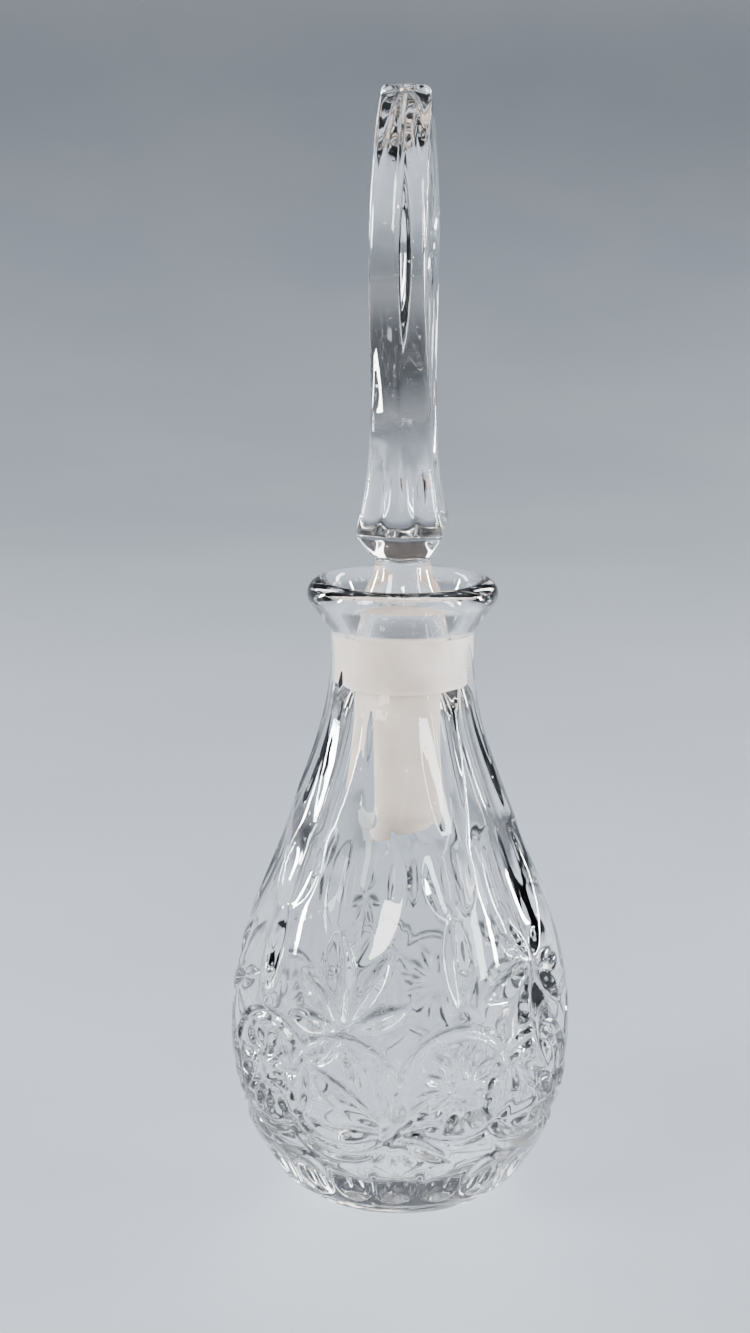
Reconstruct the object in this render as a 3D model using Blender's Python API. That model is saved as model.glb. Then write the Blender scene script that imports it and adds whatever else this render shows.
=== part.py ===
"""Cut-crystal perfume bottle with a tall flat stopper ground into its neck.

Metres, +Z up. The origin is the middle of the foot's flat ring, on the axis that both pieces
share. The finial's broad faces look along +X and -X, and its narrow edges along +Y and -Y.
"""

import math

import bmesh
import bpy
from mathutils import Matrix, Vector

# Body: heights are above the table, and radii are to the glass before it is cut.
BODY_RADIUS = 0.0311
BELLY_HEIGHT = 0.0300
BASE_TUCK = 0.0074
NECK_HEIGHT = 0.1020
NECK_RADIUS = 0.01275
TAPER_EASE = 1.05
WALL = 0.0042
FLOOR_THICKNESS = 0.0095
FLOOR_FULLNESS = 2.6

# Foot
FOOT_RADIUS = 0.0174
FOOT_HEIGHT = 0.0018
FOOT_ROUNDING = 0.0005
FOOT_SPREAD = 0.0012
FOOT_RING = 0.0045
DISH_DEPTH = 0.0014

# Lip: rises are above the neck's narrowest ring.
COLLAR_RISE = 0.0023
LIP_RISE = 0.0115
LIP_RADIUS = 0.0171
LIP_ROLL = 0.0026
ROLL_START = math.radians(-40)
ROLL_END = math.radians(150)

# Ground seat. The plug is the driving size, and the bore follows it.
PLUG_RADIUS = 0.0080
PLUG_LENGTH = 0.0365
PLUG_TAPER = 0.040
PLUG_CHAMFER = 0.0030
PLUG_END_INSET = 0.0016
SEAT_RISE = 0.0020
SEAT_LENGTH = 0.0100
SEAT_CLEARANCE = 0.0003
BORE_RELIEF = 0.0010

# Cuts on the bottle
FLUTES = 10
FLUTE_DEPTH = 0.0006
FLUTE_LENGTH = 0.0260
STARS = 5
STAR_TURN = math.radians(-104)
STAR_HEIGHTS = (0.0385, 0.0475)
PETAL_WHEEL = 0.0450
PETAL_DEPTH = 0.0012
PETAL_REACH = 0.0085
PETAL_DIRECTIONS = (35, 90, 145, 215, 325)
ROSETTE_TURN = math.radians(40)
ROSETTE_HEIGHT = 0.0250
ROSETTE_WHEEL = 0.0200
ROSETTE_DEPTH = 0.0009
ROSETTE_REACH = 0.0060
ROSETTE_PETALS = 6
CUT_SLOPE = math.radians(58)
WHEEL_SHOULDER = 3

# Stopper above the plug
PLUG_TOP_RISE = 0.0010
SHANK_LENGTH = 0.0120
SHANK_RADIUS = 0.0049
SHANK_EASE = 1.3
SHANK_OVERLAP = 0.0015
BLOCK_RISE = 0.0050
BLOCK_HEIGHT = 0.0020
BLOCK_THICKNESS = 0.0150
BLOCK_WIDTH = 0.0215
FINIAL_HEIGHT = 0.0830
FINIAL_WIDTH = 0.0350
FINIAL_WAIST = 0.0190
WAIST_RISE = 0.0190
WIDEST_RISE = 0.0550
FINIAL_THICKNESS = 0.0101
FLARE_FADE = 0.0085
TOP_THICKNESS = 0.0085
TOP_THINNING = 3
TOP_FULLNESS = 1.6
TOP_POINT = 0.75
EDGE_BEVEL = 0.0026
TIP_FACE = 0.00065
FAN_RAYS = 5
FAN_SPREAD = math.radians(62)
FAN_LENGTH = 0.0300
FAN_START = 0.0030
FAN_DEPTH = 0.0011

BOTTLE_SEGMENTS = 40
STOPPER_SEGMENTS = 32
WHEEL_SEGMENTS = 96
BODY_RINGS = 17
CAVITY_RINGS = 11
LIP_RINGS = 7
SHANK_RINGS = 5
FINIAL_RINGS = 7
MERGE = 0.000001
SMOOTH_UNDER = math.radians(25)

BELLY_TO_NECK = NECK_HEIGHT - BELLY_HEIGHT
SEAT_HEIGHT = NECK_HEIGHT + SEAT_RISE
PLUG_TOP = SEAT_HEIGHT + PLUG_TOP_RISE
PLUG_BOTTOM = SEAT_HEIGHT - PLUG_LENGTH
FINIAL_BOTTOM = PLUG_TOP + SHANK_LENGTH
LIP_TOP = NECK_HEIGHT + LIP_RISE


def steps(low, high, count):
    """Evenly spaced values from low to high, both ends counted."""
    return [low + (high - low) * i / (count - 1) for i in range(count)]


def ease(share):
    """Half a cosine wave, from 1 at share 0 to 0 at share 1."""
    return (1 + math.cos(math.pi * share)) / 2


def outer_radius(height):
    """The body's uncut outside: a part of an ellipse below the belly, half a wave above it."""
    if height <= BELLY_HEIGHT:
        drop = (BELLY_HEIGHT - height) / (BELLY_HEIGHT + BASE_TUCK)
        return BODY_RADIUS * math.sqrt(1 - drop * drop)
    share = min(1.0, (height - BELLY_HEIGHT) / BELLY_TO_NECK)
    return NECK_RADIUS + (BODY_RADIUS - NECK_RADIUS) * ease(share**TAPER_EASE)


def outer_slope(height):
    """How fast the outside radius changes with height."""
    step = 0.0001
    return (outer_radius(height + step) - outer_radius(height - step)) / (2 * step)


def plug_radius(height):
    """The plug's taper, which the bore follows."""
    return PLUG_RADIUS + PLUG_TAPER * (height - SEAT_HEIGHT)


def bore_radius(height):
    return plug_radius(height) + SEAT_CLEARANCE


def cavity_radius(height):
    """The inside: a wall's thickness within the outside, never closer to the plug than the relief."""
    if height < BELLY_HEIGHT:
        drop = (BELLY_HEIGHT - height) / (BELLY_HEIGHT - FLOOR_THICKNESS)
        rounded = max(0.0, 1 - drop**FLOOR_FULLNESS) ** (1 / FLOOR_FULLNESS)
        return (BODY_RADIUS - WALL) * rounded
    return max(outer_radius(height) - WALL, bore_radius(height) + BORE_RELIEF)


def turned(name, profile, segments):
    """A closed solid turned about the Z axis from (radius, height) points that end on it."""
    mesh = bmesh.new()
    points = [mesh.verts.new((radius, 0, height)) for radius, height in profile]
    edges = [mesh.edges.new(pair) for pair in zip(points, points[1:])]
    bmesh.ops.spin(
        mesh, geom=points + edges, cent=(0, 0, 0), axis=(0, 0, 1),
        angle=math.tau, steps=segments, use_merge=True,
    )
    bmesh.ops.remove_doubles(mesh, verts=mesh.verts, dist=MERGE)
    bmesh.ops.recalc_face_normals(mesh, faces=mesh.faces)
    return finished(name, mesh)


def finished(name, mesh):
    """An object in the scene that holds this mesh."""
    data = bpy.data.meshes.new(name)
    mesh.to_mesh(data)
    mesh.free()
    data.shade_smooth()
    data.set_sharp_from_angle(angle=SMOOTH_UNDER)
    part = bpy.data.objects.new(name, data)
    bpy.context.scene.collection.objects.link(part)
    return part


def glass(name, colour, roughness):
    """A plain glass finish."""
    finish = bpy.data.materials.new(name)
    finish.use_nodes = True
    shader = finish.node_tree.nodes["Principled BSDF"]
    shader.inputs["Base Color"].default_value = (*colour, 1)
    shader.inputs["Roughness"].default_value = roughness
    shader.inputs["Metallic"].default_value = 0.0
    shader.inputs["IOR"].default_value = 1.54
    return finish


def cut_by(part, name, cutters):
    """Cuts a group of guides out of a part."""
    group = bpy.data.collections.new(name)
    bpy.context.scene.collection.children.link(group)
    for cutter in cutters:
        bpy.context.scene.collection.objects.unlink(cutter)
        group.objects.link(cutter)
        cutter.hide_render = True
        cutter.display_type = "WIRE"
    cut = part.modifiers.new(name, "BOOLEAN")
    cut.operation = "DIFFERENCE"
    cut.operand_type = "COLLECTION"
    cut.collection = group
    cut.solver = "EXACT"


def wheel(name, place, outward, along, radius, depth):
    """A V-edged cutting wheel that sinks its rim into the glass at a place, in line with a direction."""
    shoulder = WHEEL_SHOULDER * depth
    thickness = shoulder * math.tan(CUT_SLOPE)
    rim = [(0, -thickness), (radius - shoulder, -thickness), (radius, 0)]
    rim += [(across, -level) for across, level in rim[1::-1]]
    cutter = turned(name, rim, WHEEL_SEGMENTS)
    outward = outward.normalized()
    axle = outward.cross(along).normalized()
    turn = Matrix((outward, axle.cross(outward), axle)).transposed().to_4x4()
    cutter.matrix_world = Matrix.Translation(place + outward * (radius - depth)) @ turn
    return cutter


def body_cut(name, turn, height, direction, reach, radius, depth):
    """A wheel cut on the body whose middle is a reach away from a motif's centre."""
    around = turn + reach * math.cos(direction) / outer_radius(height)
    level = height + reach * math.sin(direction)
    out = Vector((math.cos(around), math.sin(around), 0))
    side = Vector((-math.sin(around), math.cos(around), 0))
    slope = outer_slope(level)
    up = (out * slope + Vector((0, 0, 1))).normalized()
    place = out * outer_radius(level) + Vector((0, 0, level))
    along = side * math.cos(direction) + up * math.sin(direction)
    return wheel(name, place, side.cross(up), along, radius, depth)


def bottle_profile():
    """The outside from under the foot up to the lip, then the inside down to the floor."""
    dish = FOOT_RADIUS - FOOT_RING
    profile = [(dish * share, DISH_DEPTH * math.cos(share * math.pi / 2)) for share in steps(0, 1, 5)]
    profile += [
        (FOOT_RADIUS - FOOT_ROUNDING, 0),
        (FOOT_RADIUS, FOOT_ROUNDING),
        (FOOT_RADIUS, FOOT_HEIGHT),
    ]
    body_heights = steps(FOOT_HEIGHT + FOOT_SPREAD, NECK_HEIGHT, BODY_RINGS)
    profile += [(outer_radius(height), height) for height in body_heights]
    profile += [(NECK_RADIUS, NECK_HEIGHT + COLLAR_RISE)]
    roll = (LIP_RADIUS - LIP_ROLL, LIP_TOP - LIP_ROLL)
    for angle in steps(ROLL_START, ROLL_END, LIP_RINGS):
        profile += [(roll[0] + LIP_ROLL * math.cos(angle), roll[1] + LIP_ROLL * math.sin(angle))]
    profile += [(bore_radius(SEAT_HEIGHT), SEAT_HEIGHT)]
    seat_end = SEAT_HEIGHT - SEAT_LENGTH
    profile += [(bore_radius(seat_end), seat_end)]
    shoulder = seat_end - BORE_RELIEF
    for height in steps(shoulder, BELLY_HEIGHT, CAVITY_RINGS):
        profile += [(cavity_radius(height), height)]
    depth = BELLY_HEIGHT - FLOOR_THICKNESS
    for angle in steps(0, math.pi / 2, CAVITY_RINGS)[1:]:
        height = BELLY_HEIGHT - depth * math.sin(angle) ** (2 / FLOOR_FULLNESS)
        profile += [((BODY_RADIUS - WALL) * math.cos(angle) ** (2 / FLOOR_FULLNESS), height)]
    profile[-1] = (0, FLOOR_THICKNESS)
    return profile


def flute_neck(bottle):
    """Hollows the outside of the neck into upright flutes that fade out down the shoulder."""
    for vertex in bottle.data.vertices:
        radius = vertex.co.xy.length
        height = vertex.co.z
        if height > NECK_HEIGHT or radius < outer_radius(height) - WALL / 2:
            continue
        fade = max(0.0, 1 - (NECK_HEIGHT - height) / FLUTE_LENGTH)
        turn = math.atan2(vertex.co.y, vertex.co.x)
        hollow = FLUTE_DEPTH * fade * abs(math.cos(FLUTES * turn / 2))
        vertex.co.xy *= (radius - hollow) / radius


def make_bottle():
    bottle = turned("bottle", bottle_profile(), BOTTLE_SEGMENTS)
    flute_neck(bottle)
    cutters = []
    for star in range(STARS):
        turn = STAR_TURN + math.tau * star / STARS
        hanging = star % 2
        for degrees in PETAL_DIRECTIONS:
            direction = math.radians(degrees) + math.pi * hanging
            cutters += [body_cut(
                f"star_{star}_{degrees}", turn, STAR_HEIGHTS[hanging], direction,
                PETAL_REACH, PETAL_WHEEL, PETAL_DEPTH,
            )]
        turn += ROSETTE_TURN
        for petal in range(ROSETTE_PETALS):
            direction = math.tau * (petal + 0.5) / ROSETTE_PETALS
            cutters += [body_cut(
                f"rosette_{star}_{petal}", turn, ROSETTE_HEIGHT, direction,
                ROSETTE_REACH, ROSETTE_WHEEL, ROSETTE_DEPTH,
            )]
    cut_by(bottle, "body_cuts", cutters)
    bottle.data.materials.append(glass("crystal", (0.93, 0.95, 0.96), 0.03))


def half_width(rise):
    """Half the finial's width at a height above its bottom."""
    waist = FINIAL_WAIST / 2
    widest = FINIAL_WIDTH / 2
    if rise < BLOCK_RISE:
        return SHANK_RADIUS + (BLOCK_WIDTH / 2 - SHANK_RADIUS) * rise / BLOCK_RISE
    if rise < BLOCK_RISE + BLOCK_HEIGHT:
        return BLOCK_WIDTH / 2
    if rise < WAIST_RISE:
        top_of_block = BLOCK_RISE + BLOCK_HEIGHT
        share = (rise - top_of_block) / (WAIST_RISE - top_of_block)
        return waist + (BLOCK_WIDTH / 2 - waist) * ease(share)
    if rise < WIDEST_RISE:
        share = (WIDEST_RISE - rise) / (WIDEST_RISE - WAIST_RISE)
        return waist + (widest - waist) * ease(share)
    share = (rise - WIDEST_RISE) / (FINIAL_HEIGHT - WIDEST_RISE)
    return widest * max(0.0, 1 - share**TOP_FULLNESS) ** TOP_POINT


def half_thickness(rise):
    """Half the finial's thickness at a height above its bottom."""
    if rise < BLOCK_RISE:
        return SHANK_RADIUS + (BLOCK_THICKNESS / 2 - SHANK_RADIUS) * rise / BLOCK_RISE
    above = max(0.0, rise - BLOCK_RISE - BLOCK_HEIGHT)
    flare = (BLOCK_THICKNESS - FINIAL_THICKNESS) / 2 * math.exp(-above / FLARE_FADE)
    share = max(0.0, (rise - WIDEST_RISE) / (FINIAL_HEIGHT - WIDEST_RISE))
    return FINIAL_THICKNESS / 2 + flare - (FINIAL_THICKNESS - TOP_THICKNESS) / 2 * share**TOP_THINNING


def finial_section(rise):
    """Six corners of the finial at a height: two broad faces and two edges that rise to a ridge."""
    thick = half_thickness(rise)
    width = max(half_width(rise), EDGE_BEVEL)
    inner = max(width - EDGE_BEVEL, TIP_FACE)
    corners = [(thick, inner), (0, width), (-thick, inner)]
    corners += [(-across, -deep) for across, deep in corners]
    return [Vector((across, deep, FINIAL_BOTTOM + rise)) for across, deep in corners]


def finial_rises():
    """Heights of the finial's sections, closer together round its top."""
    rises = [0, BLOCK_RISE, BLOCK_RISE + BLOCK_HEIGHT]
    rises += steps(rises[-1], WAIST_RISE, 4)[1:]
    rises += steps(WAIST_RISE, WIDEST_RISE, FINIAL_RINGS)[1:]
    top = FINIAL_HEIGHT - WIDEST_RISE
    rises += [WIDEST_RISE + top * math.sin(angle) for angle in steps(0, math.pi / 2, FINIAL_RINGS)[1:]]
    return rises


def make_finial():
    """The flat blade and its block, drawn up from section to section."""
    mesh = bmesh.new()
    rises = finial_rises()
    face = mesh.faces.new([mesh.verts.new(corner) for corner in finial_section(rises[0])])
    bottom = face
    for rise in rises[1:]:
        grown = bmesh.ops.extrude_face_region(mesh, geom=[face])["geom"]
        if face is not bottom:
            bmesh.ops.delete(mesh, geom=[face], context="FACES_ONLY")
        face = next(item for item in grown if isinstance(item, bmesh.types.BMFace))
        for vertex, corner in zip(face.verts, finial_section(rise)):
            vertex.co = corner
    bmesh.ops.recalc_face_normals(mesh, faces=mesh.faces)
    return finished("finial", mesh)


def stopper_profile():
    """The ground plug from its end up, then the clear shank as it narrows to the finial."""
    chamfer_top = PLUG_BOTTOM + PLUG_CHAMFER
    profile = [
        (0, PLUG_BOTTOM),
        (plug_radius(chamfer_top) - PLUG_END_INSET, PLUG_BOTTOM),
        (plug_radius(chamfer_top), chamfer_top),
        (plug_radius(SEAT_HEIGHT), SEAT_HEIGHT),
    ]
    top = plug_radius(PLUG_TOP)
    for share in steps(0, 1, SHANK_RINGS):
        radius = SHANK_RADIUS + (top - SHANK_RADIUS) * ease(share**SHANK_EASE)
        profile += [(radius, PLUG_TOP + SHANK_LENGTH * share)]
    profile += [(SHANK_RADIUS, FINIAL_BOTTOM + SHANK_OVERLAP), (0, FINIAL_BOTTOM + SHANK_OVERLAP)]
    return profile


def make_stopper():
    stopper = turned("stopper", stopper_profile(), STOPPER_SEGMENTS)
    finial = make_finial()
    finial.hide_render = True
    finial.display_type = "WIRE"
    joined = stopper.modifiers.new("finial", "BOOLEAN")
    joined.operation = "UNION"
    joined.object = finial
    joined.solver = "EXACT"
    cutters = []
    fan_radius = FAN_LENGTH**2 / (8 * FAN_DEPTH)
    root = Vector((0, 0, FINIAL_BOTTOM + WAIST_RISE))
    for side in (-1, 1):
        for ray, lean in enumerate(steps(-FAN_SPREAD / 2, FAN_SPREAD / 2, FAN_RAYS)):
            along = Vector((0, math.sin(lean), math.cos(lean)))
            middle = root + along * (FAN_START + FAN_LENGTH / 2)
            middle.x = side * half_thickness(middle.z - FINIAL_BOTTOM)
            cutters += [wheel(
                f"fan_{side}_{ray}", middle, Vector((side, 0, 0)), along, fan_radius, FAN_DEPTH,
            )]
    cut_by(stopper, "fan_cuts", cutters)
    stopper.data.materials.append(glass("ground_crystal", (0.90, 0.90, 0.88), 0.18))


def main():
    for old in list(bpy.data.objects):
        bpy.data.objects.remove(old, do_unlink=True)
    make_bottle()
    make_stopper()


main()
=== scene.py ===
"""Cut-crystal perfume bottle and its tall stopper, finished in clear and ground glass."""

import math

import bmesh
import bpy
import numpy as np
from mathutils import Euler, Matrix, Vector


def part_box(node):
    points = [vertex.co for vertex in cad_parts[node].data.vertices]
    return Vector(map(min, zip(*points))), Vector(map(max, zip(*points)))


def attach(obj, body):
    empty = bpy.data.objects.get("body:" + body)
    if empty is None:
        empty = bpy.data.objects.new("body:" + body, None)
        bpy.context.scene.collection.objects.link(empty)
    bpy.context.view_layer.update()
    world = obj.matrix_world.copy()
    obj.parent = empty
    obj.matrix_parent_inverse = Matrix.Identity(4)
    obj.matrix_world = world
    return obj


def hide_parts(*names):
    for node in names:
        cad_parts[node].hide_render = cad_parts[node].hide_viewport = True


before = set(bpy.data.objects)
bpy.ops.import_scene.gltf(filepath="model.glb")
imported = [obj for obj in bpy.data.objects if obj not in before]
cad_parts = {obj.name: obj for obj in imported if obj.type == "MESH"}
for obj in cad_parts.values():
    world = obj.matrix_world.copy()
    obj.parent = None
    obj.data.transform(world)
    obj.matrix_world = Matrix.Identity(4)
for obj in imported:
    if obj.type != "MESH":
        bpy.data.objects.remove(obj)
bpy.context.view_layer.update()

MM = 0.001
MERGE = 0.002 * MM
SNAP = 0.01 * MM

# Places that the frame gives
BOTTLE_HIGH = Vector(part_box("bottle")[1])
STOPPER_LOW, STOPPER_HIGH = (Vector(corner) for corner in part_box("stopper"))
BODY_RADIUS = BOTTLE_HIGH.x
LIP_TOP = BOTTLE_HIGH.z
PLUG_BOTTOM = STOPPER_LOW.z
FINIAL_TOP = STOPPER_HIGH.z
FINIAL_WIDEST = STOPPER_HIGH.y

# Bottle before it is cut
BELLY_HEIGHT = 30.0 * MM
BASE_TUCK = 7.4 * MM
NECK_HEIGHT = 102.0 * MM
NECK_RADIUS = 12.75 * MM
TAPER_EASE = 1.05
WALL = 4.2 * MM
FLOOR_THICKNESS = 9.5 * MM
FLOOR_FULLNESS = 2.6
FOOT_RADIUS = 17.4 * MM
FOOT_HEIGHT = 1.8 * MM
FOOT_ROUNDING = 0.5 * MM
FOOT_SPREAD = 1.2 * MM
DISH_RADIUS = 12.9 * MM
DISH_DEPTH = 1.4 * MM
COLLAR_RISE = 2.3 * MM
LIP_RADIUS = 17.1 * MM
LIP_ROLL = 2.6 * MM
ROLL_START = math.radians(-40)
ROLL_END = math.radians(150)

# Ground seat and plug
SEAT_HEIGHT = 104.0 * MM
SEAT_LENGTH = 10.0 * MM
PLUG_RADIUS = 8.0 * MM
PLUG_TAPER = 0.040
PLUG_TOP = 105.0 * MM
PLUG_CHAMFER = 3.0 * MM
PLUG_END_INSET = 1.6 * MM
SEAT_CLEARANCE = 0.3 * MM
BORE_RELIEF = 1.0 * MM
GROUND_MARGIN = 0.5 * MM

# Stopper above the plug
FINIAL_BOTTOM = 117.0 * MM
SHANK_RADIUS = 4.9 * MM
SHANK_EASE = 1.3
BLOCK_BOTTOM = 122.0 * MM
BLOCK_TOP = 124.0 * MM
BLOCK_HALF_THICKNESS = 7.5 * MM
BLOCK_HALF_WIDTH = 10.75 * MM
WAIST_HEIGHT = 136.0 * MM
WAIST_HALF_WIDTH = 9.5 * MM
WIDEST_HEIGHT = 172.0 * MM
BLADE_HALF_THICKNESS = 5.05 * MM
TOP_HALF_THICKNESS = 4.25 * MM
TOP_THINNING = 3
TOP_FULLNESS = 1.6
TOP_POINT = 0.75
FLARE_FADE = 8.5 * MM
EDGE_BEVEL = 2.6 * MM
TIP_HALF_WIDTH = 2.6 * MM
TIP_FACE = 0.65 * MM
TIP_ROUNDING = 1.3 * MM

# Cuts: each star, roundel and panel comes five times round the body.
REPEATS = 5
STAR_TURN = math.radians(-104)
STAR_LEVELS = (38.5 * MM, 47.5 * MM)
PANEL_TURN = math.radians(4)
PANEL_HEIGHT = 61.0 * MM
RISE_TURN = math.radians(40)
ROUNDEL_TURN = math.radians(40)
ROUNDEL_HEIGHT = 28.0 * MM
ROUNDEL_SPOKES = 12
ROUNDEL_LEAN = 0.3
EYELET_TURN = math.radians(-2)
EYELET_HEIGHT = 25.5 * MM
LOW_STAR_TURN = math.radians(17)
LOW_STAR_HEIGHT = 19.5 * MM
SCALLOPS = 20
SCALLOP_HEIGHT = 8.5 * MM
FLUTES = 10
FLUTE_TURN = math.radians(-94)
FLUTE_HEIGHT = 84.0 * MM
BASE_RAYS = 16
BASE_RAY_WIDTH = 1.5
BASE_RAY_DEPTH = 0.9

# Finial's cuts, with leans in degrees
FLOWER_HEIGHT = 173.0 * MM
FLOWER_PETALS = 8
FEATHERS = 6
FEATHER_START = 153.0 * MM
FEATHER_PITCH = 6.5 * MM
FEATHER_LEAN = -52
FAN_HEIGHT = 131.0 * MM
FAN_LEANS = (-24, -8, 8, 24)
BLEND_HEIGHT = 1.2 * MM
CORNER_ROUNDING = 1
CORNER_CHAMFER = 0.45 * MM

# Straight wheel cuts: near end, far end, half width and depth, in millimetres from a motif's centre
UPWARD = 90
PANEL_HOLLOWS = ((-14.0, 15.5, 9.3, 0.70), (-12.5, 13.5, 7.6, 2.00))
RISE_HOLLOW = (-4.5, 11.0, 5.0, 1.30)
RISE_MITRE = (-20.0, -2.0, 2.4, 1.90)
ROUNDEL_PETALS = ((1.5, 9.2, 1.35, 1.70), (1.5, 8.0, 1.35, 1.70))
FLUTE_HOLLOW = (-18.0, 20.0, 4.1, 0.75)
SCALLOP_HOLLOW = (-5.5, 5.0, 3.7, 0.90)
FLOWER_CUTS = ((0.6, 14.5, 2.0, 1.1), (0.6, 10.0, 2.0, 1.1))
FEATHER_CUT = (-4.5, 1.5, 1.0, 0.7)
FAN_CUT = (0.0, 21.0, 1.5, 1.2)
FLAME_CUT = (-1.0, 13.0, 1.3, 1.1)
# Petals of a star: direction in degrees, near end, far end, half width and depth in millimetres
STAR_PETALS = (
    (98, 0.8, 20.5, 2.9, 2.6),
    (62, 1.2, 16.5, 2.2, 2.2),
    (133, 0.8, 13.5, 1.9, 1.9),
    (22, 1.2, 12.5, 2.1, 2.1),
    (172, 0.8, 11.0, 2.1, 2.1),
    (-44, 2.5, 8.5, 1.3, 1.3),
    (-72, 0.8, 11.0, 1.9, 1.9),
    (-128, 1.0, 9.5, 1.7, 1.7),
)
LOW_STAR_PETALS = (
    (143, 0.6, 21.0, 2.3, 2.3),
    (118, 0.6, 9.0, 1.2, 1.3),
    (100, 0.6, 16.5, 1.7, 1.9),
    (76, 0.6, 9.5, 1.2, 1.2),
    (46, 0.6, 13.5, 1.8, 2.0),
    (14, 0.6, 9.0, 1.3, 1.3),
    (-32, 0.6, 12.0, 1.6, 1.8),
    (-62, 0.4, 7.5, 1.2, 1.2),
    (-92, 0.4, 6.5, 1.2, 1.2),
    (-122, 0.4, 7.5, 1.2, 1.2),
    (-158, 0.6, 9.0, 1.3, 1.3),
    (176, 0.6, 11.0, 1.4, 1.4),
)
# Ring cuts: radius, half width and depth in millimetres
ROUNDEL_RING = (10.6, 0.9, 1.20)
EYELET_RINGS = ((11.4, 1.0, 1.25), (9.0, 0.8, 1.00))

# Camera and stage, with the camera's angles in degrees and its lens in millimetres
CAMERA_REACH = 0.511
CAMERA_HEIGHT = 0.206
CAMERA_DIP = 12.0
CAMERA_TURN = 5.0
CAMERA_AIM = 0.55
CAMERA_ROLL = 0.25
CAMERA_LENS = 78.6
CAMERA_SENSOR = 36.0
FLOOR_REACH = 0.80
COVE_RADIUS = 1.60
WALL_HEIGHT = 0.34
# Heights between which the wall fades into the sky
WALL_FADE = (0.17, 0.33)
FLOOR_GAP = 0.2 * MM
LAMP_AIM = (0, 0, 0.09)
STRIP_SIZE = (0.09, 0.60)
STRIP_POWER = 3.6
STRIP_SPREAD = 50
WARM, COOL = (1.0, 0.95, 0.88), (0.93, 0.96, 1.0)
# Sky: how high each tone starts, from the horizon at 0 to overhead at 1, and the tone
SKY = (
    (0.00, (0.34, 0.37, 0.41)),
    (0.14, (0.28, 0.30, 0.34)),
    (0.26, (0.05, 0.054, 0.062)),
    (0.55, (0.04, 0.044, 0.052)),
    (0.85, (0.50, 0.53, 0.57)),
    (1.00, (0.75, 0.78, 0.82)),
)

# How finely the glass and the stage are divided
BOTTLE_COLUMNS = 320
PATTERN_TOP = 64.0 * MM
PATTERN_PITCH = 0.50 * MM
NECK_PITCH = 0.95 * MM
CAVITY_PITCH = 3.0 * MM
DISH_PITCH = 0.55 * MM
FOOT_RING_PITCH = 0.8 * MM
RIM_PITCH = 0.5 * MM
COLLAR_PITCH = 0.7 * MM
FUNNEL_PITCH = 0.9 * MM
BORE_PITCH = 1.0 * MM
PLUG_PITCH = 0.8 * MM
SHANK_PITCH = 0.7 * MM
BLADE_PITCH = 0.52 * MM
LIP_STEPS = 24
TIP_STEPS = 8
FINE_STEPS = 2000
COVE_STEPS = 16
COVE_SIDES = 96
STOPPER_FACE_COLUMNS = 56
STOPPER_EDGE_COLUMNS = 10
STOPPER_BEVEL_COLUMNS = 2
# Legs of the stopper's section, counted from the chamfer on the +X side of its +Y edge
BROAD_LEGS = (4, 9)
NARROW_LEGS = (1, 2, 6, 7)


def ease(share):
    """Half a cosine wave, from 1 at share 0 to 0 at share 1."""
    return (1 + np.cos(np.pi * np.clip(share, 0, 1))) / 2


def outer_radius(height):
    """The body's uncut outside: part of an ellipse below the belly, half a wave above it."""
    drop = np.clip((BELLY_HEIGHT - height) / (BELLY_HEIGHT + BASE_TUCK), 0, 1)
    share = np.clip((height - BELLY_HEIGHT) / (NECK_HEIGHT - BELLY_HEIGHT), 0, 1)
    upper = NECK_RADIUS + (BODY_RADIUS - NECK_RADIUS) * ease(share**TAPER_EASE)
    return np.where(height < BELLY_HEIGHT, BODY_RADIUS * np.sqrt(1 - drop**2), upper)


def plug_radius(height):
    return PLUG_RADIUS + PLUG_TAPER * (height - SEAT_HEIGHT)


def arc(centre, radius, start, end, count):
    """Points of an arc in the (radius, height) plane."""
    angle = np.linspace(start, end, count)
    return np.column_stack((centre[0] + radius * np.cos(angle), centre[1] + radius * np.sin(angle)))


def evened(path, pitch):
    """The same path with points an even pitch apart, both ends kept."""
    path = np.asarray(path, float)
    travel = np.concatenate(([0], np.cumsum(np.linalg.norm(np.diff(path, axis=0), axis=1))))
    places = np.linspace(0, travel[-1], max(2, round(travel[-1] / pitch) + 1))
    return np.column_stack([np.interp(places, travel, path[:, k]) for k in range(path.shape[1])])


def joined(*paths):
    """Paths end to end, without the points that two of them share."""
    path = np.concatenate(paths)
    apart = np.linalg.norm(np.diff(path, axis=0), axis=1) > MERGE
    return path[np.concatenate(([True], apart))]


def skin(name, columns, rows, place):
    """A closed skin: a sheet rolled round the axis, each of its points put where place says."""
    mesh = bmesh.new()
    bmesh.ops.create_grid(mesh, x_segments=columns, y_segments=rows - 1, size=0.5)
    flat = np.array([vertex.co[:2] for vertex in mesh.verts]) + 0.5
    column = np.rint(flat[:, 0] * columns).astype(int)
    row = np.rint(flat[:, 1] * (rows - 1)).astype(int)
    for vertex, point in zip(mesh.verts, place[row, column % columns]):
        vertex.co = point
    bmesh.ops.remove_doubles(mesh, verts=mesh.verts, dist=MERGE)
    bmesh.ops.recalc_face_normals(mesh, faces=mesh.faces)
    data = bpy.data.meshes.new(name)
    mesh.to_mesh(data)
    mesh.free()
    data.shade_smooth()
    piece = bpy.data.objects.new(name, data)
    bpy.context.scene.collection.objects.link(piece)
    return piece


def softened(depth, passes):
    """Depths blended with their neighbours, so that a cut's edges come out fire-polished."""
    for _ in range(passes):
        depth = (np.roll(depth, 1, 1) + 2 * depth + np.roll(depth, -1, 1)) / 4
        inner = (depth[:-2] + 2 * depth[1:-1] + depth[2:]) / 4
        depth = np.concatenate((depth[:1], inner, depth[-1:]))
    return depth


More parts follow.
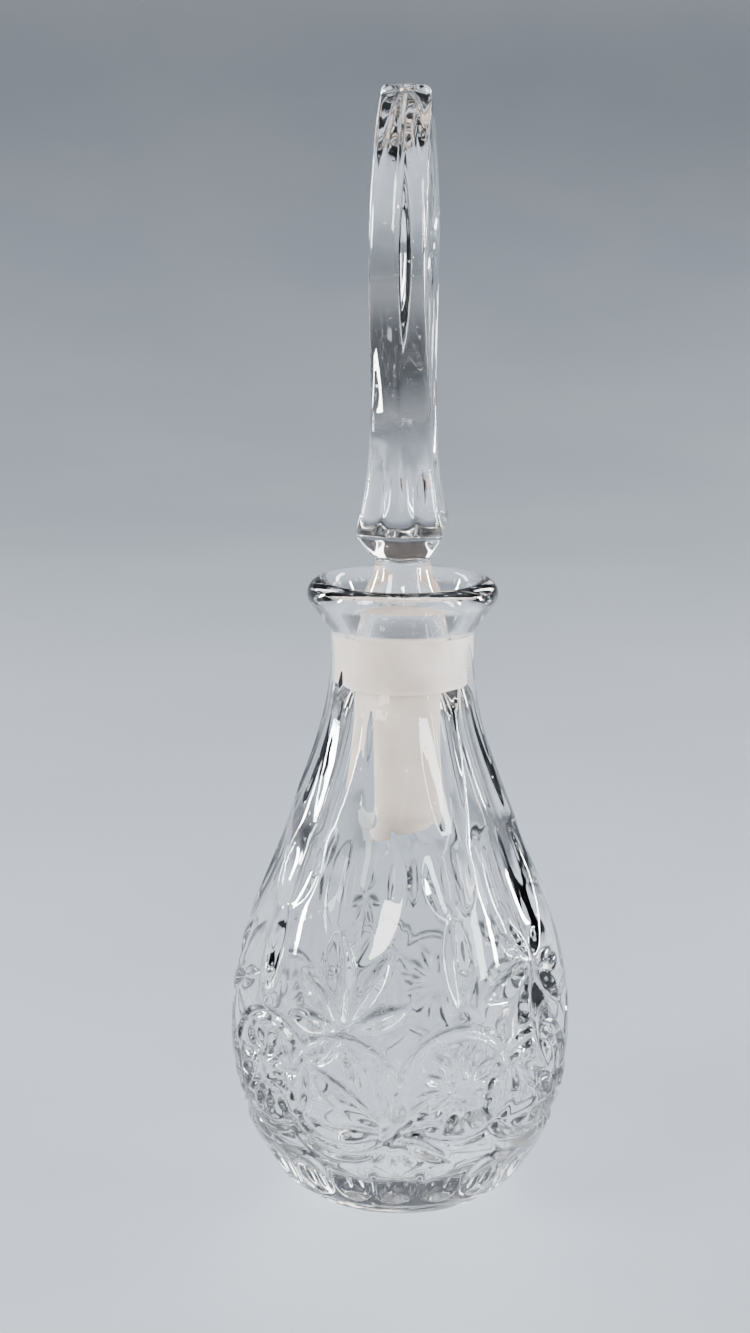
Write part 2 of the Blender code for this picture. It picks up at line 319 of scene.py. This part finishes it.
class Cuts:
    """Depths of wheel cuts over a surface, gathered from places across and up from a centre."""

    def __init__(self, across, up):
        self.across = across
        self.up = up
        self.depth = np.zeros_like(across)

    def turned(self, degrees):
        angle = math.radians(degrees)
        along = self.across * math.cos(angle) + self.up * math.sin(angle)
        aside = self.up * math.cos(angle) - self.across * math.sin(angle)
        return along, aside

    def sink(self, depth):
        self.depth = np.maximum(self.depth, depth)

    def mitre(self, degrees, near, far, half_width, depth):
        """A V-shaped cut, pointed at both ends, that runs out from the centre."""
        along, aside = self.turned(degrees)
        share = (along - (near + far) / 2) / ((far - near) / 2)
        width = half_width * (1 - share**2)
        self.sink(depth * np.clip((width - np.abs(aside)) / half_width, 0, None))

    def olive(self, degrees, near, far, half_width, depth):
        """A smooth oval hollow that runs out from the centre."""
        along, aside = self.turned(degrees)
        share = (along - (near + far) / 2) / ((far - near) / 2)
        self.sink(depth * np.clip(1 - share**2 - (aside / half_width) ** 2, 0, None))

    def ring(self, radius, half_width, depth):
        """A round V-shaped groove about the centre."""
        off = np.abs(np.hypot(self.across, self.up) - radius)
        self.sink(depth * np.clip(1 - off / half_width, 0, None))


def body_cuts(turn, height):
    """Depth of every cut on the outside, over columns of turns and rows of heights."""
    ladder = np.linspace(0, NECK_HEIGHT, FINE_STEPS)
    travel = np.concatenate(([0], np.cumsum(np.hypot(np.diff(ladder), np.diff(outer_radius(ladder))))))
    up = np.interp(height, ladder, travel)
    radius = outer_radius(height)
    depth = np.zeros(turn.shape)

    def about(centre, level):
        """Where the surface lies, in millimetres, about a centre at a turn and a height."""
        swing = (turn - centre + math.pi) % math.tau - math.pi
        return Cuts(radius * swing / MM, (up - np.interp(level, ladder, travel)) / MM)

    for repeat in range(REPEATS):
        start = STAR_TURN + math.tau * repeat / REPEATS
        hanging = repeat % 2
        star = about(start, STAR_LEVELS[hanging])
        for direction, *petal in STAR_PETALS:
            star.mitre(direction + 180 * hanging, *petal)
        panel = about(start + PANEL_TURN, PANEL_HEIGHT)
        for hollow in PANEL_HOLLOWS:
            panel.olive(UPWARD, *hollow)
        rise = about(start + RISE_TURN, PANEL_HEIGHT)
        rise.olive(UPWARD, *RISE_HOLLOW)
        rise.mitre(UPWARD, *RISE_MITRE)
        roundel = about(start + ROUNDEL_TURN, ROUNDEL_HEIGHT)
        roundel.ring(*ROUNDEL_RING)
        for spoke in range(ROUNDEL_SPOKES):
            roundel.mitre(360 * (spoke + ROUNDEL_LEAN) / ROUNDEL_SPOKES, *ROUNDEL_PETALS[spoke % 2])
        eyelet = about(start + EYELET_TURN, EYELET_HEIGHT)
        for ring in EYELET_RINGS:
            eyelet.ring(*ring)
        low_star = about(start + LOW_STAR_TURN, LOW_STAR_HEIGHT)
        for petal in LOW_STAR_PETALS:
            low_star.mitre(*petal)
        for group in (star, panel, rise, roundel, eyelet, low_star):
            depth = np.maximum(depth, group.depth)
    for flute in range(FLUTES):
        scoop = about(FLUTE_TURN + math.tau * flute / FLUTES, FLUTE_HEIGHT)
        scoop.olive(UPWARD, *FLUTE_HOLLOW)
        depth = np.maximum(depth, scoop.depth)
    for scallop in range(SCALLOPS):
        thumb = about(STAR_TURN + math.tau * scallop / SCALLOPS, SCALLOP_HEIGHT)
        thumb.olive(UPWARD, *SCALLOP_HOLLOW)
        depth = np.maximum(depth, thumb.depth)
    return depth * MM


def base_cuts(turn, radius):
    """Depth of the star cut under the base: rays that narrow towards the middle and the foot's ring."""
    ray = math.tau / BASE_RAYS
    aside = radius * np.abs((turn + ray / 2) % ray - ray / 2) / MM
    share = np.clip(radius / DISH_RADIUS, 0, 1)
    width = BASE_RAY_WIDTH * 4 * share * (1 - share)
    return np.clip((width - aside) / BASE_RAY_WIDTH, 0, None) * BASE_RAY_DEPTH * MM


def bottle_outline():
    """The outline in (radius, height), from under the foot up to the lip and down inside to the floor."""
    share = np.linspace(0, 1, 40)
    dish = np.column_stack((DISH_RADIUS * share, DISH_DEPTH * ease(share)))
    edge = arc((FOOT_RADIUS - FOOT_ROUNDING, FOOT_ROUNDING), FOOT_ROUNDING, -math.pi / 2, 0, 5)
    under = joined(evened(dish, DISH_PITCH), evened([dish[-1], edge[0]], FOOT_RING_PITCH), edge)

    height = np.linspace(FOOT_HEIGHT + FOOT_SPREAD, NECK_HEIGHT, 600)
    body = np.column_stack((outer_radius(height), height))
    rim = [edge[-1], (FOOT_RADIUS, FOOT_HEIGHT), body[0]]
    patterned = height < PATTERN_TOP
    body = joined(
        evened(rim, RIM_PITCH), evened(body[patterned], PATTERN_PITCH), evened(body[~patterned], NECK_PITCH),
    )

    roll = (LIP_RADIUS - LIP_ROLL, LIP_TOP - LIP_ROLL)
    lip = arc(roll, LIP_ROLL, ROLL_START, ROLL_END, LIP_STEPS)
    collar = evened([body[-1], (NECK_RADIUS, NECK_HEIGHT + COLLAR_RISE), lip[0]], COLLAR_PITCH)
    seat_end = SEAT_HEIGHT - SEAT_LENGTH
    bore = [(plug_radius(level) + SEAT_CLEARANCE, level) for level in (SEAT_HEIGHT, seat_end)]
    mouth = joined(collar, lip, evened([lip[-1], bore[0]], FUNNEL_PITCH), evened(bore, BORE_PITCH))

    height = np.linspace(seat_end - BORE_RELIEF, BELLY_HEIGHT, 300)
    inside = np.maximum(outer_radius(height) - WALL, plug_radius(height) + SEAT_CLEARANCE + BORE_RELIEF)
    swing = np.linspace(0, math.pi / 2, 200)
    power = 2 / FLOOR_FULLNESS
    floor = np.column_stack((
        (BODY_RADIUS - WALL) * np.cos(swing).clip(0) ** power,
        BELLY_HEIGHT - (BELLY_HEIGHT - FLOOR_THICKNESS) * np.sin(swing) ** power,
    ))
    floor[-1] = (0, FLOOR_THICKNESS)
    cavity = joined(np.column_stack((inside, height)), floor)
    cavity = evened(joined(mouth[-1:], cavity), CAVITY_PITCH)
    return joined(under, body, mouth, cavity)


def make_bottle():
    """The bottle: turned, then cut all over its outside and starred under its base."""
    outline = bottle_outline()
    radius, height = (outline[:, k, None] for k in (0, 1))
    turn = np.linspace(0, math.tau, BOTTLE_COLUMNS, endpoint=False)[None, :] + np.zeros_like(radius)
    lean = np.gradient(outline, axis=0)
    lean /= np.linalg.norm(lean, axis=1)[:, None]

    level = height + np.zeros_like(turn)
    bearing = radius + np.zeros_like(turn)
    outside = np.abs(bearing - outer_radius(level)) < SNAP
    outside &= (level > FOOT_HEIGHT) & (level < NECK_HEIGHT + MM)
    below = (level < DISH_DEPTH + SNAP) & (bearing < DISH_RADIUS)
    depth = np.where(outside, body_cuts(turn, level), 0)
    depth = depth + np.where(below, base_cuts(turn, bearing), 0)
    depth = (depth + softened(depth, 1)) / 2

    radius = radius - lean[:, 1, None] * depth
    height = height + lean[:, 0, None] * depth
    place = np.stack((radius * np.cos(turn), radius * np.sin(turn), height), axis=-1)
    return skin("bottle_glass", BOTTLE_COLUMNS, len(outline), place)


def blade_half_width(height):
    """Half the finial's width, from the shank up to its tip."""
    block = np.clip((height - FINIAL_BOTTOM) / (BLOCK_BOTTOM - FINIAL_BOTTOM), 0, 1)
    low = SHANK_RADIUS + (BLOCK_HALF_WIDTH - SHANK_RADIUS) * block
    waist = (height - BLOCK_TOP) / (WAIST_HEIGHT - BLOCK_TOP)
    middle = WAIST_HALF_WIDTH + (BLOCK_HALF_WIDTH - WAIST_HALF_WIDTH) * ease(waist)
    swell = (WIDEST_HEIGHT - height) / (WIDEST_HEIGHT - WAIST_HEIGHT)
    upper = WAIST_HALF_WIDTH + (FINIAL_WIDEST - WAIST_HALF_WIDTH) * ease(swell)
    rounding = np.clip((height - WIDEST_HEIGHT) / (FINIAL_TOP - WIDEST_HEIGHT), 0, 1)
    tip = FINIAL_WIDEST * (1 - rounding**TOP_FULLNESS).clip(0) ** TOP_POINT
    width = np.where(height < BLOCK_TOP, low, middle)
    width = np.where(height > WAIST_HEIGHT, upper, width)
    return np.maximum(np.where(height > WIDEST_HEIGHT, tip, width), TIP_HALF_WIDTH)


def blade_half_thickness(height):
    """Half the finial's thickness, from the shank up to its tip."""
    block = np.clip((height - FINIAL_BOTTOM) / (BLOCK_BOTTOM - FINIAL_BOTTOM), 0, 1)
    low = SHANK_RADIUS + (BLOCK_HALF_THICKNESS - SHANK_RADIUS) * block
    above = np.maximum(height - BLOCK_TOP, 0)
    flare = (BLOCK_HALF_THICKNESS - BLADE_HALF_THICKNESS) * np.exp(-above / FLARE_FADE)
    share = np.clip((height - WIDEST_HEIGHT) / (FINIAL_TOP - WIDEST_HEIGHT), 0, 1)
    upper = BLADE_HALF_THICKNESS + flare - (BLADE_HALF_THICKNESS - TOP_HALF_THICKNESS) * share**TOP_THINNING
    return np.where(height < BLOCK_BOTTOM, low, upper)


def section_shares():
    """Each column's leg of the ten-sided section, and how far along that leg it is."""
    edge = (STOPPER_BEVEL_COLUMNS, STOPPER_EDGE_COLUMNS, STOPPER_EDGE_COLUMNS, STOPPER_BEVEL_COLUMNS)
    legs = (*edge, STOPPER_FACE_COLUMNS) * 2
    leg = np.repeat(np.arange(len(legs)), legs)
    share = np.concatenate([np.arange(count) / count for count in legs])
    return leg, share


def stopper_rows():
    """The stopper's outline in (radius of its round part, height), bottom centre to tip."""
    chamfer = PLUG_BOTTOM + PLUG_CHAMFER
    plug = [(0, PLUG_BOTTOM), (plug_radius(chamfer) - PLUG_END_INSET, PLUG_BOTTOM)]
    plug += [(plug_radius(chamfer), chamfer), (plug_radius(PLUG_TOP), PLUG_TOP)]
    share = np.linspace(0, 1, 60)
    radius = SHANK_RADIUS + (plug_radius(PLUG_TOP) - SHANK_RADIUS) * ease(share**SHANK_EASE)
    shank = np.column_stack((radius, PLUG_TOP + (FINIAL_BOTTOM - PLUG_TOP) * share))
    plug = joined(*(evened(pair, PLUG_PITCH) for pair in zip(plug, plug[1:])))
    height = np.linspace(FINIAL_BOTTOM, FINIAL_TOP - TIP_ROUNDING, FINE_STEPS)
    blade = evened(np.column_stack((blade_half_width(height), height)), BLADE_PITCH)
    tip = FINIAL_TOP - TIP_ROUNDING * (1 - np.sin(np.linspace(0, math.pi / 2, TIP_STEPS)))
    blade = np.concatenate((blade, np.column_stack((tip, tip))[1:]))
    blade[:, 0] = SHANK_RADIUS
    return joined(plug, evened(shank, SHANK_PITCH), blade, [(SHANK_RADIUS, FINIAL_TOP)])


def face_cuts(deep, height):
    """Depth of the cuts on the finial's broad faces, over places across and up the face."""
    flower = Cuts(deep / MM, (height - FLOWER_HEIGHT) / MM)
    for petal in range(FLOWER_PETALS):
        flower.mitre(360 * (petal + 0.5) / FLOWER_PETALS, *FLOWER_CUTS[petal % 2])
    depth = flower.depth
    for side in (-1, 1):
        for feather in range(FEATHERS):
            level = FEATHER_START + FEATHER_PITCH * feather
            rim = float(blade_half_width(np.array(level)))
            barb = Cuts((side * deep - rim) / MM, (height - level) / MM)
            barb.mitre(FEATHER_LEAN, *FEATHER_CUT)
            depth = np.maximum(depth, barb.depth)
    root = Cuts(deep / MM, (height - FAN_HEIGHT) / MM)
    for lean in FAN_LEANS:
        root.mitre(UPWARD - lean, *FAN_CUT)
    return np.maximum(depth, root.depth) * MM


def edge_cuts(aside, height):
    """Depth of the flame-shaped cuts that rise from the block on the finial's narrow edges."""
    flame = Cuts(aside / MM, (height - BLOCK_TOP) / MM)
    flame.mitre(UPWARD, *FLAME_CUT)
    return flame.depth * MM


def make_stopper():
    """The stopper: round up to the top of its shank, then a ten-sided blade with cut faces."""
    rows = stopper_rows()
    leg, share = section_shares()
    height = rows[:, 1, None] + np.zeros(leg.size)[None, :]
    wide = blade_half_width(height)
    thick = blade_half_thickness(height)
    rise = np.clip(height - (FINIAL_TOP - TIP_ROUNDING), 0, TIP_ROUNDING)
    inset = TIP_ROUNDING - np.sqrt(TIP_ROUNDING**2 - rise**2)
    wide = wide - inset
    thick = thick - inset
    inner = np.maximum(wide - EDGE_BEVEL, TIP_FACE)
    zero = np.zeros_like(wide)
    slant = CORNER_CHAMFER / np.hypot(thick, wide - inner)
    start = (thick, inner - CORNER_CHAMFER)
    stop = (thick * (1 - slant), inner + (wide - inner) * slant)
    front = (start, stop, (zero, wide), (-stop[0], stop[1]), (-start[0], start[1]))
    corners = (*front, *((-x, -y) for x, y in front))
    across, deep = zero.copy(), zero.copy()
    for side in range(len(corners)):
        here, there = corners[side], corners[(side + 1) % len(corners)]
        on = (leg == side)[None, :]
        across = np.where(on, here[0] + (there[0] - here[0]) * share, across)
        deep = np.where(on, here[1] + (there[1] - here[1]) * share, deep)
    angle = np.arctan2(deep, across)
    block = np.clip((height - FINIAL_BOTTOM) / BLEND_HEIGHT, 0, 1)
    radius = rows[:, 0, None]
    across = radius * np.cos(angle) * (1 - block) + across * block
    deep = radius * np.sin(angle) * (1 - block) + deep * block

    for _ in range(CORNER_ROUNDING):
        across, deep = (
            (np.roll(line, 1, 1) + 2 * line + np.roll(line, -1, 1)) / 4 for line in (across, deep)
        )
    broad = np.isin(leg, BROAD_LEGS)[None, :]
    shrink = 1 - np.where(broad & (height > BLOCK_TOP), face_cuts(deep, height), 0) / thick
    across = across * shrink
    reach = np.maximum(np.hypot(across, deep), TIP_FACE)
    aside = (share - 0.5)[None, :] * np.hypot(thick, wide - inner)
    narrow = np.isin(leg, NARROW_LEGS)[None, :] & (height > BLOCK_BOTTOM)
    shrink = 1 - np.where(narrow, edge_cuts(aside, height), 0) / reach
    place = softened(np.stack((across * shrink, deep * shrink, height), axis=-1), 1)
    closed = np.repeat([[[0, 0, FINIAL_TOP]]], leg.size, axis=1)
    place = np.concatenate((place, closed))
    return skin("stopper_glass", leg.size, len(place), place)


def ground_faces(piece, inside):
    """Gives the faces whose middles pass a test the ground finish, which is the second slot."""
    for face in piece.data.polygons:
        if inside(face.center):
            face.material_index = 1


class Wire:
    """A number or colour that flows between shader nodes and takes part in arithmetic."""

    def __init__(self, tree, socket):
        self.tree = tree
        self.socket = socket

    def joined_with(self, operation, first, second):
        node = self.tree.nodes.new("ShaderNodeMath")
        node.operation = operation
        for socket, value in zip(node.inputs, (first, second)):
            if isinstance(value, Wire):
                self.tree.links.new(value.socket, socket)
            else:
                socket.default_value = value
        return Wire(self.tree, node.outputs[0])

    def __add__(self, other):
        return self.joined_with("ADD", self, other)

    def __sub__(self, other):
        return self.joined_with("SUBTRACT", self, other)

    def __mul__(self, other):
        return self.joined_with("MULTIPLY", self, other)

    __radd__ = __add__


class Finish:
    """A material under construction."""

    def __init__(self, name):
        self.material = bpy.data.materials.new(name)
        self.material.use_nodes = True
        self.tree = self.material.node_tree
        self.tree.nodes.clear()

    def node(self, kind, settings=None, output=0, **values):
        """A node of any type: its settings first, then the values or links of its sockets."""
        node = self.tree.nodes.new(kind)
        for name, value in (settings or {}).items():
            setattr(node, name, value)
        for name, value in values.items():
            key = int(name[1:]) if name[0] == "_" else name.replace("_", " ")
            if isinstance(value, Wire):
                self.tree.links.new(value.socket, node.inputs[key])
            else:
                node.inputs[key].default_value = value
        return Wire(self.tree, node.outputs[output])

    def place(self, stretch=(1, 1, 1)):
        """The piece's own coordinates in metres, stretched along its axes."""
        own = self.node("ShaderNodeTexCoord", output="Object")
        return self.node("ShaderNodeMapping", Vector=own, Scale=stretch)

    def noise(self, scale, detail=2.0, rough=0.5, stretch=(1, 1, 1)):
        return self.node(
            "ShaderNodeTexNoise", Vector=self.place(stretch), Scale=scale, Detail=detail, Roughness=rough,
        )

    def between(self, value, low, high, start=0.0, end=1.0):
        """A value's place between two limits, eased, and spread from start to end."""
        return self.node(
            "ShaderNodeMapRange", {"interpolation_type": "SMOOTHSTEP"},
            Value=value, From_Min=low, From_Max=high, To_Min=start, To_Max=end,
        )

    def bump(self, height, distance, strength=1.0, under=None):
        links = {} if under is None else {"Normal": under}
        return self.node("ShaderNodeBump", Height=height, Distance=distance, Strength=strength, **links)

    def finished(self, shader):
        target = self.tree.nodes.new("ShaderNodeOutputMaterial")
        self.tree.links.new(shader.socket, target.inputs["Surface"])
        return self.material

    def lets_lamps_through(self, shader, share):
        """The shader, with lamps' light passing straight on through it."""
        lamp = self.node("ShaderNodeLightPath", output="Is Shadow Ray")
        clear = self.node("ShaderNodeBsdfTransparent", Color=(share, share, share, 1))
        return self.node("ShaderNodeMixShader", _0=lamp, _1=shader, _2=clear)


def crystal():
    """Clear lead crystal: fire-polished, faintly wavy, with finger marks and a few dust specks."""
    finish = Finish("clear_crystal")
    marks = finish.between(finish.noise(85, 4.0, 0.6), 0.52, 0.74)
    streaks = finish.between(finish.noise(260, 2.0, 0.5, (1, 1, 0.25)), 0.50, 0.80)
    roughness = 0.006 + marks * 0.030 + streaks * 0.012
    wave = finish.bump(finish.noise(210, 1.0), 0.06 * MM, 0.55)
    specks = finish.between(finish.node(
        "ShaderNodeTexVoronoi", output="Distance", Vector=finish.place(), Scale=420.0,
    ), 0.05, 0.12, 1.0, 0.0)
    normal = finish.bump(specks, 0.05 * MM, 0.35, wave)
    shader = finish.node(
        "ShaderNodeBsdfPrincipled", Base_Color=(0.985, 0.99, 0.99, 1), Roughness=roughness,
        IOR=1.56, Transmission_Weight=1.0, Normal=normal,
    )
    return finish.finished(finish.lets_lamps_through(shader, 0.76))


def ground_glass():
    """Finely ground glass: warm white and frosted, with grinding rings and worn, shinier streaks."""
    finish = Finish("ground_glass")
    cloud = finish.between(finish.noise(120, 3.0), 0.35, 0.70)
    rings = finish.noise(160, 2.0, 0.5, (1, 1, 22))
    grain = finish.noise(5200, 2.0)
    worn = finish.between(finish.noise(420, 2.0, 0.5, (1, 1, 0.10)), 0.55, 0.68)
    roughness = 0.50 + cloud * 0.10 + rings * 0.06 - worn * 0.22
    colour = finish.node(
        "ShaderNodeMix", {"data_type": "RGBA"}, output=2, Factor=cloud,
        _6=(0.50, 0.43, 0.375, 1), _7=(0.62, 0.55, 0.49, 1),
    )
    normal = finish.bump(rings, 0.05 * MM, 0.4, finish.bump(grain, 0.02 * MM, 0.6))
    shader = finish.node(
        "ShaderNodeBsdfPrincipled", Base_Color=colour, Roughness=roughness, IOR=1.52,
        Transmission_Weight=0.22, Coat_Weight=worn, Coat_Roughness=0.12, Normal=normal,
    )
    return finish.finished(finish.lets_lamps_through(shader, 0.45))


def pale_floor():
    finish = Finish("floor_paint")
    tone = finish.between(finish.noise(6.0, 3.0), 0.3, 0.7)
    colour = finish.node(
        "ShaderNodeMix", {"data_type": "RGBA"}, output=2, Factor=tone,
        _6=(0.235, 0.265, 0.31, 1), _7=(0.26, 0.29, 0.33, 1),
    )
    rise = finish.node("ShaderNodeSeparateXYZ", output="Z", Vector=finish.place())
    cover = finish.between(rise, *WALL_FADE, 1.0, 0.0)
    shader = finish.node("ShaderNodeBsdfPrincipled", Base_Color=colour, Roughness=0.55, Alpha=cover)
    return finish.finished(shader)


def make_floor():
    """A pale floor that turns up into a low wall all the way round, which fades into the sky."""
    mesh = bmesh.new()
    rise = math.acos(1 - WALL_HEIGHT / COVE_RADIUS)
    curve = arc((FLOOR_REACH, COVE_RADIUS), COVE_RADIUS, -math.pi / 2, rise - math.pi / 2, COVE_STEPS)
    outline = [(0, 0), *curve]
    points = [mesh.verts.new((radius, 0, height - FLOOR_GAP)) for radius, height in outline]
    edges = [mesh.edges.new(pair) for pair in zip(points, points[1:])]
    bmesh.ops.spin(
        mesh, geom=points + edges, cent=(0, 0, 0), axis=(0, 0, 1),
        angle=math.tau, steps=COVE_SIDES, use_merge=True,
    )
    bmesh.ops.remove_doubles(mesh, verts=mesh.verts, dist=MERGE)
    data = bpy.data.meshes.new("floor")
    mesh.to_mesh(data)
    mesh.free()
    data.shade_smooth()
    floor = bpy.data.objects.new("floor", data)
    bpy.context.scene.collection.objects.link(floor)
    data.materials.append(pale_floor())


def lamp(name, place, aim, size, power, colour=(1, 1, 1), spread=180):
    """A soft rectangular lamp at a place, aimed at a point, with its light spread over an angle."""
    data = bpy.data.lights.new(name, "AREA")
    data.shape = "RECTANGLE"
    data.size, data.size_y = size
    data.energy = power
    data.color = colour
    data.spread = math.radians(spread)
    light = bpy.data.objects.new(name, data)
    light.location = place
    light.rotation_euler = (Vector(aim) - Vector(place)).to_track_quat("-Z", "Y").to_euler()
    light.visible_camera = False
    bpy.context.scene.collection.objects.link(light)


def make_sky():
    """A sky that is pale low down and overhead, and darker between, so that the glass has edges."""
    world = bpy.data.worlds.new("studio")
    world.use_nodes = True
    tree = world.node_tree
    tree.nodes.clear()
    coords = tree.nodes.new("ShaderNodeTexCoord")
    parts = tree.nodes.new("ShaderNodeSeparateXYZ")
    ramp = tree.nodes.new("ShaderNodeValToRGB")
    sky = tree.nodes.new("ShaderNodeBackground")
    target = tree.nodes.new("ShaderNodeOutputWorld")
    for place, colour in SKY[1:-1]:
        ramp.color_ramp.elements.new(place)
    for element, (place, colour) in zip(ramp.color_ramp.elements, SKY):
        element.position = place
        element.color = (*colour, 1)
    tree.links.new(coords.outputs["Generated"], parts.inputs[0])
    tree.links.new(parts.outputs["Z"], ramp.inputs[0])
    tree.links.new(ramp.outputs[0], sky.inputs["Color"])
    tree.links.new(sky.outputs[0], target.inputs["Surface"])
    bpy.context.scene.world = world


def make_lights():
    """Soft lamps on all sides, and two small ones in front that put sparks on the lip."""
    lamp("key", (-0.80, -0.75, 0.85), LAMP_AIM, (0.30, 0.60), 22.0, WARM)
    lamp("fill", (1.00, -0.45, 0.55), LAMP_AIM, (0.12, 0.80), 9.0, COOL)
    lamp("back_right", (0.55, 1.00, 0.62), LAMP_AIM, (0.20, 0.60), 10.0)
    lamp("back_left", (-0.80, 0.80, 0.75), LAMP_AIM, (0.16, 0.70), 8.0, COOL)
    lamp("top", (0.05, 0.0, 1.30), LAMP_AIM, (0.50, 0.50), 10.0, WARM)
    for side in (-1, 1):
        lamp(
            f"edge_{side}", (1.55 * side, 0.68, 0.52), LAMP_AIM, STRIP_SIZE, STRIP_POWER,
            spread=STRIP_SPREAD,
        )
        lamp(
            f"side_{side}", (1.60 * side, -0.35, 0.52), LAMP_AIM, STRIP_SIZE, STRIP_POWER,
            COOL, STRIP_SPREAD,
        )
        lamp(f"spark_{side}", (0.10 + 0.05 * side, -1.05, 0.95), LAMP_AIM, (0.05, 0.05), 1.5, WARM)


def make_camera():
    """A long lens a little to the right of the finial's edge, looking down on the bottle."""
    turn = math.radians(CAMERA_TURN)
    data = bpy.data.cameras.new("camera")
    data.lens = CAMERA_LENS
    data.sensor_width = CAMERA_SENSOR
    camera = bpy.data.objects.new("camera", data)
    camera.location = (CAMERA_REACH * math.sin(turn), -CAMERA_REACH * math.cos(turn), CAMERA_HEIGHT)
    tilt = math.radians(90 - CAMERA_DIP)
    camera.rotation_euler = Euler((tilt, 0, turn + math.radians(CAMERA_AIM)))
    camera.rotation_euler.rotate_axis("Z", math.radians(CAMERA_ROLL))
    bpy.context.scene.collection.objects.link(camera)
    bpy.context.scene.camera = camera


bottle = make_bottle()
stopper = make_stopper()
clear, ground = crystal(), ground_glass()
for piece in (bottle, stopper):
    piece.data.materials.append(clear)
    piece.data.materials.append(ground)
seat = (SEAT_HEIGHT - SEAT_LENGTH, SEAT_HEIGHT)
ground_faces(bottle, lambda spot: seat[0] < spot.z < seat[1] and spot.xy.length < PLUG_RADIUS + GROUND_MARGIN)
ground_faces(stopper, lambda spot: spot.z < PLUG_TOP)

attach(bottle, "bottle")
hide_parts("bottle")
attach(stopper, "stopper")
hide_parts("stopper")

make_floor()
make_sky()
make_lights()
make_camera()
